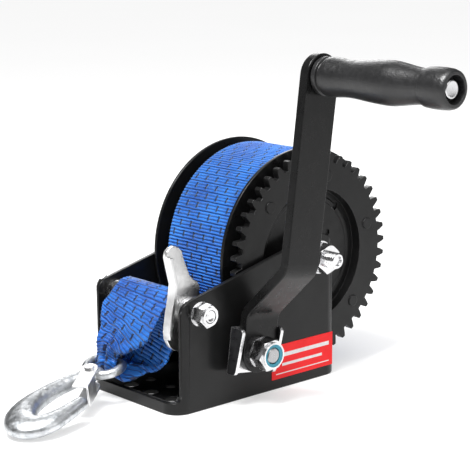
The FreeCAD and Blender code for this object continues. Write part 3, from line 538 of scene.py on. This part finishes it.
def strap_end():
    yc = 0.7
    def drum_pt(a, r):
        return Vector((DRUM[0] + r * math.cos(math.radians(a)), yc, DRUM[1] + r * math.sin(math.radians(a))))
    def tie_pt(a, r):
        return Vector((TIE[0] + r * math.cos(math.radians(a)), yc, TIE[1] + r * math.sin(math.radians(a))))
    def bar_pt(a, r):
        return B + (D * math.cos(math.radians(a)) + W * math.sin(math.radians(a))) * r
    pts = [drum_pt(262, 63.3), drum_pt(252, 63.9), drum_pt(243, 64.3), drum_pt(234, 64.5), drum_pt(226, 64.6), drum_pt(222, 64.9)]
    a_, b_ = drum_pt(221, 65.2), tie_pt(58, 9.2)
    for f in (0.12, 0.35, 0.6, 0.85):
        pts.append(a_.lerp(b_, f))
    pts += [tie_pt(58, 9.2), tie_pt(80, 9.1), tie_pt(103, 9.1), tie_pt(124, 9.3), Vector((-57.2, 1.0, 61.5)), Vector((-62.0, 2.0, 55.5)), Vector((-66.6, 3.8, 48.0)),
            Vector((-70.6, 6.6, 40.5)), Vector((-74.6, 9.6, 34.0))]
    i_gather0, i_gather1 = 15, len(pts)
    pts += [bar_pt(52, 7.2), bar_pt(25, 6.6), bar_pt(-5, 6.4), bar_pt(-35, 6.4), bar_pt(-65, 6.5), bar_pt(-95, 6.8), bar_pt(-125, 7.6)]
    i_back0 = len(pts) - 1
    pts += [Vector((-61.5, 8.6, 18.5)), Vector((-57.0, 6.2, 24.0)), Vector((-53.6, 3.8, 31.5)), Vector((-51.6, 2.2, 39.0)), Vector((-52.8, 1.2, 47.5)),
            Vector((-54.8, yc, 54.5)), tie_pt(165, 7.35), tie_pt(135, 7.3), tie_pt(105, 7.3), tie_pt(75, 7.3), tie_pt(56, 7.5)]
    i_back1 = len(pts) - 6
    c_, d_ = tie_pt(56, 7.5), a_ + Vector((-1.0, 0, -1.4))
    for f in (0.15, 0.3, 0.42):
        pts.append(c_.lerp(d_, f))
    step = RIB / MM / 6.0
    line = catmull(pts, step)
    # where each control point sits along the line
    def near(p):
        return min(range(len(line)), key=lambda i: (line[i] - p).length)
    g0, g1, b0, b1 = near(pts[i_gather0]), near(pts[i_gather1]), near(pts[i_back0]), near(pts[i_back1])
    n = len(line)
    half, n_u = 25.0, 72
    verts, lay, faces = [], [], []
    surf = []
    for i, p in enumerate(line):
        t = (line[min(n - 1, i + 2)] - line[max(0, i - 2)]).normalized()
        if i <= g1:
            k = smooth01(((i - g0) / (g1 - g0) - 0.05) / 0.95)
        elif i <= b0:
            k = 1.0
        else:
            k = 1.0 - smooth01((i - b0) / (b1 - b0) / 0.62)
        c = (Vector((0, -1, 0)) * (1 - k) + N * k).normalized()
        c = (c - t * c.dot(t)).normalized()
        nrm = t.cross(c)
        kf = k ** 0.9
        s_m = i * step
        # cross-section by turning angle: a valley in the middle, the edges folded under
        row = {0: (0.0, 0.0)}
        for side in (1, -1):
            f_, g_ = 0.0, 0.0
            h0, h1 = (6.9, 9.5) if side > 0 else (6.5, 10.0)
            out_ = (25.4 - h0) * (1.0 - k)          # the fold line moves in from the selvedge
            du = half / (n_u / 2)
            for j in range(1, n_u // 2 + 1):
                a = (j - 0.5) * du
                th = 1.25 * math.exp(-(a / 2.1) ** 2) - 0.50 * math.exp(-((a - 4.3) / 1.9) ** 2)
                th *= kf ** 1.5
                th -= math.pi * 0.97 * smooth01((a - h0 - out_) / (h1 - h0))
                th += math.pi * 0.97 * smooth01((a - h0 - out_ - 11.0) / (h1 - h0))
                th += 0.16 * math.sin(a * 0.9 + 0.05 * s_m) * (1 - abs(2 * k - 1))
                f_ += math.cos(th) * du
                g_ += math.sin(th) * du
                row[side * j] = (side * f_, g_)
        shift = -0.9 * kf
        surf.append([])
        for j in range(-n_u // 2, n_u // 2 + 1):
            f_, g_ = row[j]
            u = j * half / (n_u / 2)
            ripple = 0.35 * kf * (1 - kf) * 4 * math.sin(s_m * 0.33 + abs(f_) * 0.35)
            chev = 4.2 * kf * (1 - smooth01(abs(f_) / 11.0))
            ph = ((s_m + chev) / (RIB / MM)) % 1.0
            rib = 0.44 * (abs(math.sin(math.pi * ph)) - 0.6)
            q = p + c * f_ + nrm * (g_ + shift + ripple)
            verts.append(q * MM)
            surf[-1].append((q, t, c, nrm, rib))
            lay.append(((u + half) * MM, (s_m + chev) * MM))
    # ribs: pushed out along the sheet's own normal
    w = n_u + 1
    for i in range(n - 1):
        for j in range(n_u):
            faces.append((i * w + j, i * w + j + 1, (i + 1) * w + j + 1, (i + 1) * w + j))
    o = new_obj("strap_end_webbing", verts, faces, M["web"], lay=lay)
    ribs = [surf[i][j][4] for i in range(n) for j in range(w)]
    nv = [v.normal.copy() for v in o.data.vertices]
    for v, nn, h in zip(o.data.vertices, nv, ribs):
        v.co += nn * h * MM
    s = o.modifiers.new("thickness", "SOLIDIFY")
    s.thickness = 1.25 * MM
    s.offset = 0.0
    bake(o)
    for p in o.data.polygons:
        p.use_smooth = True
    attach(o, "base")
    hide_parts("strap_tail", "strap_loop")
    area = sum(p.area for p in o.data.polygons) / 2
    print("strap end: length mm", round(n * step, 1), "area share", round(area / (0.05 * n * step * MM), 3))

    # box stitching through both layers, between the roll and the tie tube
    i0 = near(a_.lerp(b_, 0.60)); i1 = near(a_.lerp(b_, 0.97))
    sv, sf = [], []
    def stitch(ia, ja, ib, jb):
        """a run of short raised stitches between two places on the sheet"""
        qa, qb = surf[ia][ja][0], surf[ib][jb][0]
        dist = (qb - qa).length
        cnt = max(1, int(dist / 3.0))
        for q in range(cnt):
            f0, f1 = (q + 0.14) / cnt, (q + 0.86) / cnt
            ring = []
            for e in range(7):
                f = f0 + (f1 - f0) * e / 6
                ii = ia + (ib - ia) * f
                jj = ja + (jb - ja) * f
                s_ = surf[int(round(ii))][int(round(jj))]
                pos = qa.lerp(qb, f)
                pos = pos + s_[3] * ((s_[0] - pos).dot(s_[3]) + 0.62 + 0.28 * math.sin(math.pi * e / 6))
                ax = (qb - qa).normalized()
                sd = ax.cross(s_[3]).normalized()
                r_ = 0.10 + 0.24 * math.sin(math.pi * (0.08 + 0.84 * e / 6))
                ring.append([pos + sd * math.cos(h * math.pi / 4) * r_ + s_[3] * math.sin(h * math.pi / 4) * r_ for h in range(8)])
            base = len(sv)
            for rg in ring:
                sv.extend([x * MM for x in rg])
            for e in range(6):
                for h in range(8):
                    sf.append((base + e * 8 + h, base + e * 8 + (h + 1) % 8, base + (e + 1) * 8 + (h + 1) % 8, base + (e + 1) * 8 + h))
            sf.append(tuple(base + h for h in reversed(range(8))))
            sf.append(tuple(base + 48 + h for h in range(8)))
    ja, jb = 6, n_u - 6
    for k in (0, 4):
        stitch(i0 + k, ja + k, i0 + k, jb - k); stitch(i1 - k, ja + k, i1 - k, jb - k)
        stitch(i0 + k, ja + k, i1 - k, ja + k); stitch(i0 + k, jb - k, i1 - k, jb - k)
    stitch(i0, ja, i1, jb); stitch(i0, jb, i1, ja)
    st = new_obj("strap_stitching", sv, sf, M["thread"])
    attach(st, "base")
    return o


# ------------------------------------------------------------------ swept bars, joined and smoothed into one forging
def sweep(bm, pts, half_w, half_t, up, closed=False, seg=20):
    """oval bar along pts; half_w lies in the plane square to up, half_t along up"""
    n = len(pts)
    rings = []
    for i, p in enumerate(pts):
        if closed:
            t = (pts[(i + 1) % n] - pts[(i - 1) % n]).normalized()
        else:
            t = (pts[min(n - 1, i + 1)] - pts[max(0, i - 1)]).normalized()
        side = t.cross(up).normalized()
        a = half_w(i / (n - 1)) if callable(half_w) else half_w
        b = half_t(i / (n - 1)) if callable(half_t) else half_t
        rings.append([bm.verts.new((p + side * math.cos(2 * math.pi * k / seg) * a + up * math.sin(2 * math.pi * k / seg) * b) * MM) for k in range(seg)])
    m = n if closed else n - 1
    for i in range(m):
        r1, r2 = rings[i], rings[(i + 1) % n]
        for k in range(seg):
            bm.faces.new((r1[k], r1[(k + 1) % seg], r2[(k + 1) % seg], r2[k]))
    if not closed:
        for ring, sign in ((rings[0], -1), (rings[-1], 1)):
            j = 0 if sign < 0 else n - 1
            t = (pts[min(n - 1, j + 1)] - pts[max(0, j - 1)]).normalized() * sign
            prev = ring
            c = pts[j]
            for q in (1, 2, 3, 4):
                f = math.cos(q * math.pi / 10)
                adv = math.sin(q * math.pi / 10) * (half_t(1.0 if sign > 0 else 0.0) if callable(half_t) else half_t) * 0.95
                new = [bm.verts.new(((Vector(v.co) / MM - c) * f + c + t * adv) * MM) for v in ring]
                for k in range(seg):
                    bm.faces.new((prev[k], prev[(k + 1) % seg], new[(k + 1) % seg], new[k]) if sign > 0 else (prev[(k + 1) % seg], prev[k], new[k], new[(k + 1) % seg]))
                prev = new
            bm.faces.new(prev if sign > 0 else list(reversed(prev)))


def loop_pts(pts, step):
    n = len(pts)
    ext = [pts[-1]] + pts + [pts[0], pts[1]]
    out = []
    for i in range(1, n + 1):
        p0, p1, p2, p3 = ext[i - 1], ext[i], ext[i + 1], ext[i + 2]
        for k in range(12):
            t = k / 12
            out.append(0.5 * ((2 * p1) + (p2 - p0) * t + (2 * p0 - 5 * p1 + 4 * p2 - p3) * t * t + (3 * p1 - p0 - 3 * p2 + p3) * t ** 3))
    return out


EYE = [(0, -6.5), (0, 0), (0, 5.6), (0.9, 8.6), (4.2, 10.2), (9.0, 9.9), (13.6, 7.6), (16.9, 3.4), (17.4, -1.6), (15.4, -6.6), (11.0, -10.0), (6.0, -11.0), (2.0, -10.3), (0.3, -8.6)]
BODY = [(14.5, 1.5, 3.6, 3.8), (18.5, -0.8, 4.6, 4.5), (24, -3.6, 4.8, 4.6), (32, -6.7, 5.0, 4.7), (41, -9.0, 5.4, 4.9), (50, -10.3, 6.0, 5.2), (60, -10.6, 7.0, 5.6),
        (69, -9.3, 8.3, 5.8), (76, -6.2, 9.3, 5.9), (80.5, -1.5, 9.8, 5.9), (81, 3.6, 9.4, 5.8), (77.5, 8.4, 8.4, 5.5), (71, 11.8, 7.2, 5.1),
        (62, 13.4, 6.0, 4.7), (54, 13.9, 5.1, 4.4), (47.5, 14.0, 4.4, 4.1)]


def station_curve(P, n=10):
    out = []
    for i in range(len(P) - 1):
        p0, p1, p2, p3 = P[max(0, i - 1)], P[i], P[i + 1], P[min(len(P) - 1, i + 2)]
        for k in range(n):
            t = k / n
            out.append(tuple(0.5 * ((2 * b) + (c - a) * t + (2 * a - 5 * b + 4 * c - d) * t * t + (3 * b - a - 3 * c + d) * t ** 3) for a, b, c, d in zip(p0, p1, p2, p3)))
    out.append(P[-1])
    return out


def oval_bar(bm, st, up, seg=24):
    """bar whose oval section changes from station to station: (place, half width, half thickness)"""
    rings = []
    n = len(st)
    for i, (p, a, b) in enumerate(st):
        t = (st[min(n - 1, i + 1)][0] - st[max(0, i - 1)][0]).normalized()
        side = t.cross(up).normalized()
        rings.append([bm.verts.new((p + side * math.cos(2 * math.pi * k / seg) * a + up * math.sin(2 * math.pi * k / seg) * b) * MM) for k in range(seg)])
    for i in range(n - 1):
        for k in range(seg):
            bm.faces.new((rings[i][k], rings[i][(k + 1) % seg], rings[i + 1][(k + 1) % seg], rings[i + 1][k]))
    for ring, j, sign in ((rings[0], 0, -1), (rings[-1], n - 1, 1)):
        c, a, b = st[j]
        t = (st[min(n - 1, j + 1)][0] - st[max(0, j - 1)][0]).normalized() * sign
        prev = ring
        for q in range(1, 7):
            f = math.cos(q * math.pi / 14)
            new = [bm.verts.new(((Vector(v.co) / MM - c) * f + c + t * (math.sin(q * math.pi / 14) * b * 0.95)) * MM) for v in ring]
            for k in range(seg):
                quad = (prev[k], prev[(k + 1) % seg], new[(k + 1) % seg], new[k])
                bm.faces.new(quad if sign > 0 else tuple(reversed(quad)))
            prev = new
        bm.faces.new(prev if sign > 0 else list(reversed(prev)))


def forged_hook():
    bm = bmesh.new()
    sweep(bm, loop_pts([hp(*e) for e in EYE], 1.0), 3.0, 3.0, W, closed=True)
    oval_bar(bm, [(hp(u, v), a, b) for u, v, a, b in station_curve(BODY)], W)
    me = bpy.data.meshes.new("forged_hook")
    bm.to_mesh(me); bm.free()
    me.materials.append(M["galv"])
    o = bpy.data.objects.new("forged_hook", me)
    scene.collection.objects.link(o)
    r = o.modifiers.new("r", "REMESH"); r.mode = "VOXEL"; r.voxel_size = 0.00055; r.use_smooth_shade = True
    s = o.modifiers.new("s", "SMOOTH"); s.iterations = 12; s.factor = 0.6
    bake(o)
    if not o.data.materials:
        o.data.materials.append(M["galv"])
    for v in o.data.vertices:
        q = v.co * 1000
        v.co += v.normal * MM * (0.08 * noise.noise(q * 0.35) + 0.04 * noise.noise(q * 0.9) - 0.22)
    for p in o.data.polygons:
        p.use_smooth = True
    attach(o, "hook_body")
    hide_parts("hook")
    return o


# ------------------------------------------------------------------ threaded bolts
def threaded(bm, r, y0, y1, x, z, pitch, seg=48, chamfer=0.8, cup=0.0):
    """threaded bar along Y from y0 (free end) to y1"""
    rows = max(4, int(abs(y1 - y0) / (pitch / 8)))
    depth = pitch * 0.55
    prev = None
    sg = 1 if y1 > y0 else -1
    rings = []
    for i in range(rows + 1):
        y = y0 + (y1 - y0) * i / rows
        ring = []
        for k in range(seg):
            a = 2 * math.pi * k / seg
            ph = ((y / pitch) + k / seg) % 1.0
            tri = abs(2 * ph - 1)
            tri = max(0.0, min(1.0, (tri - 0.12) / 0.76))
            rr = r - depth * tri
            rr = min(rr, r - chamfer + abs(y - y0))
            ring.append(bm.verts.new(Vector((x + rr * math.cos(a), y, z + rr * math.sin(a))) * MM))
        rings.append(ring)
    for i in range(rows):
        for k in range(seg):
            f = (rings[i][k], rings[i][(k + 1) % seg], rings[i + 1][(k + 1) % seg], rings[i + 1][k])
            bm.faces.new(f)
    # faced end with a shallow cup
    prev = rings[0]
    for rr, dy in ((r * 0.62, 0.0), (r * 0.50, 0.25 + cup), (r * 0.2, 0.35 + cup)):
        new = [bm.verts.new(Vector((x + rr * math.cos(2 * math.pi * k / seg), y0 + sg * dy, z + rr * math.sin(2 * math.pi * k / seg))) * MM) for k in range(seg)]
        for k in range(seg):
            bm.faces.new((prev[(k + 1) % seg], prev[k], new[k], new[(k + 1) % seg]))
        prev = new
    bm.faces.new(list(reversed(prev)))
    bm.faces.new(rings[-1])


def hexhead(bm, af, y0, y1, x, z, rot, dish=0.5, seg=72):
    """hexagon with turned-off corners: y0 the outer face, y1 the bearing face"""
    sg = 1 if y1 > y0 else -1
    rc = af / 2 / math.cos(math.pi / 6)
    def rad(a):
        q = (a - math.radians(rot)) % (math.pi / 3) - math.pi / 6
        return af / 2 / math.cos(q)
    h = abs(y1 - y0)
    prof = []
    for dy, cap in ((0.0, af * 0.40), (0.0, af * 0.46), (0.10, af * 0.48), (0.35, af * 0.505), (0.9, af * 0.545), (1.5, rc), (h - 0.8, rc), (h - 0.3, af * 0.555), (h, af * 0.52)):
        prof.append((dy, cap))
    prev = None
    first = None
    for dy, cap in prof:
        ring = []
        for k in range(seg):
            a = 2 * math.pi * k / seg
            rr = min(rad(a), cap)
            ring.append(bm.verts.new(Vector((x + rr * math.cos(a), y0 + sg * dy, z + rr * math.sin(a))) * MM))
        if prev:
            for k in range(seg):
                bm.faces.new((prev[k], prev[(k + 1) % seg], ring[(k + 1) % seg], ring[k]))
        else:
            first = ring
        prev = ring
    bm.faces.new(prev)
    inner = [bm.verts.new(Vector((x + af * 0.33 * math.cos(2 * math.pi * k / seg), y0 + sg * dish * 0.3, z + af * 0.33 * math.sin(2 * math.pi * k / seg))) * MM) for k in range(seg)]
    for k in range(seg):
        bm.faces.new((first[(k + 1) % seg], first[k], inner[k], inner[(k + 1) % seg]))
    bm.faces.new(list(reversed(inner)))


def plain(bm, r, y0, y1, x, z, seg=48):
    a = [bm.verts.new(Vector((x + r * math.cos(2 * math.pi * k / seg), y0, z + r * math.sin(2 * math.pi * k / seg))) * MM) for k in range(seg)]
    b = [bm.verts.new(Vector((x + r * math.cos(2 * math.pi * k / seg), y1, z + r * math.sin(2 * math.pi * k / seg))) * MM) for k in range(seg)]
    for k in range(seg):
        bm.faces.new((a[k], a[(k + 1) % seg], b[(k + 1) % seg], b[k]))
    bm.faces.new(a); bm.faces.new(list(reversed(b)))


def finish_bolt(bm, name, body, node, mat="zinc"):
    bmesh.ops.recalc_face_normals(bm, faces=bm.faces)
    me = bpy.data.meshes.new(name)
    bm.to_mesh(me); bm.free()
    me.materials.append(M[mat])
    o = bpy.data.objects.new(name, me)
    scene.collection.objects.link(o)
    for p in me.polygons:
        p.use_smooth = True
    me.set_sharp_from_angle(angle=math.radians(28))
    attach(o, body)
    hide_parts(node)
    return o


def bolts():
    bm = bmesh.new()
    threaded(bm, 4.98, -57.4, -40.0, *DRUM, 1.5, cup=1.2)
    plain(bm, 4.98, -40.0, 43.0, *DRUM)
    hexhead(bm, 16.0, 48.8, 42.4, *DRUM, 12)
    finish_bolt(bm, "axle_bolt_threaded", "base", "axle_bolt")
    bm = bmesh.new()
    threaded(bm, 3.93, -51.1, -38.0, *TIE, 1.25, chamfer=0.6)
    plain(bm, 3.9, -38.0, 43.0, *TIE)
    hexhead(bm, 13.0, 47.4, 42.1, *TIE, 10)
    finish_bolt(bm, "tie_bolt_threaded", "base", "tie_bolt")
    bm = bmesh.new()
    threaded(bm, 2.97, -66.0, -84.0, *HANDLE, 1.0, chamfer=0.5)
    plain(bm, 2.95, -84.0, -169.2, *HANDLE)
    hexhead(bm, 10.0, -173.0, -169.0, *HANDLE, 10)
    finish_bolt(bm, "handle_bolt_threaded", "crank", "handle_bolt")


# ------------------------------------------------------------------ wound wire spring round the pawl hub
def pawl_spring():
    pts = []
    wire = 0.46
    turns, y0 = 2.9, -36.45
    n = int(turns * 36)
    for i in range(n + 1):
        a = 2 * math.pi * i / 36 + 0.4
        pts.append(Vector((TIE[0] + 8.3 * math.cos(a), y0 + 0.98 * i / 36 * 0.95, TIE[1] + 8.3 * math.sin(a))))
    bm = bmesh.new()
    sweep(bm, pts, wire, wire, Vector((0, 1, 0)), seg=10)
    finish_bolt(bm, "pawl_spring_coil", "pawl_lever", "pawl_spring", "steel")


wound_strap()
strap_end()
forged_hook()
bolts()
pawl_spring()

# ------------------------------------------------------------------ floor, light, camera
floor_mat = Tree("m_floor")
floor_mat.l(floor_mat.mix(floor_mat.noise(3.0), (0.50, 0.50, 0.50), (0.52, 0.52, 0.52)), floor_mat.bsdf.inputs["Base Color"])
floor_mat.set(Roughness=0.9, Specular_IOR_Level=0.1, Emission_Strength=0.50)
floor_mat.bsdf.inputs["Emission Color"].default_value = (1.0, 1.0, 1.0, 1.0)
floor = new_obj("floor", [(-40, -40, -0.0002), (40, -40, -0.0002), (40, 40, -0.0002), (-40, 40, -0.0002)], [(0, 1, 2, 3)], floor_mat.mat)

world = bpy.data.worlds.new("studio")
scene.world = world
world.use_nodes = True
world.node_tree.nodes["Background"].inputs[0].default_value = (1.0, 1.0, 1.0, 1.0)
world.node_tree.nodes["Background"].inputs[1].default_value = 0.10


def area(name, loc, target, size, power, size_y=None):
    li = bpy.data.lights.new(name, "AREA")
    li.energy = power
    li.size = size
    if size_y:
        li.shape = "RECTANGLE"
        li.size_y = size_y
    o = bpy.data.objects.new(name, li)
    o.location = loc
    o.rotation_mode = "QUATERNION"
    o.rotation_quaternion = (Vector(target) - Vector(loc)).to_track_quat("-Z", "Y")
    scene.collection.objects.link(o)
    return o


area("key", (-0.50, -0.10, 1.15), (0, 0, 0.08), 0.40, 21.0)
area("fill", (0.35, -1.25, 0.75), (0, 0, 0.08), 0.7, 3.4)
area("rim", (0.7, 0.9, 0.6), (0, 0, 0.1), 0.6, 5.0)
sun = bpy.data.lights.new("soft_sky", "SUN")
sun.energy = 2.5
sun.angle = math.radians(60)
sun_o = bpy.data.objects.new("soft_sky", sun)
sun_o.rotation_mode = "QUATERNION"
sun_o.rotation_quaternion = Vector((0.25, 0.2, -1.0)).to_track_quat("-Z", "Y")
scene.collection.objects.link(sun_o)

CAM = ((-0.58365, -0.67269, 0.28028), (-0.65080, -0.72991, 0.20902), -0.354, 116.11)
cam_data = bpy.data.cameras.new("camera")
cam = bpy.data.objects.new("camera", cam_data)
scene.collection.objects.link(cam)
cam_data.lens = CAM[3]
cam_data.sensor_width = 36.0
back = Vector(CAM[1]).normalized()
right = Vector((0, 0, 1)).cross(back).normalized()
up = back.cross(right)
roll = math.radians(CAM[2])
r2 = right * math.cos(roll) + up * math.sin(roll)
u2 = up * math.cos(roll) - right * math.sin(roll)
cam.matrix_world = Matrix(((r2.x, u2.x, back.x, CAM[0][0]), (r2.y, u2.y, back.y, CAM[0][1]), (r2.z, u2.z, back.z, CAM[0][2]), (0, 0, 0, 1)))
cam_data.clip_start = 0.05
cam_data.clip_end = 200.0
scene.camera = cam
scene.view_settings.view_transform = "Standard"
scene.view_settings.look = "None"
scene.view_settings.exposure = 0.0

bpy.context.view_layer.update()
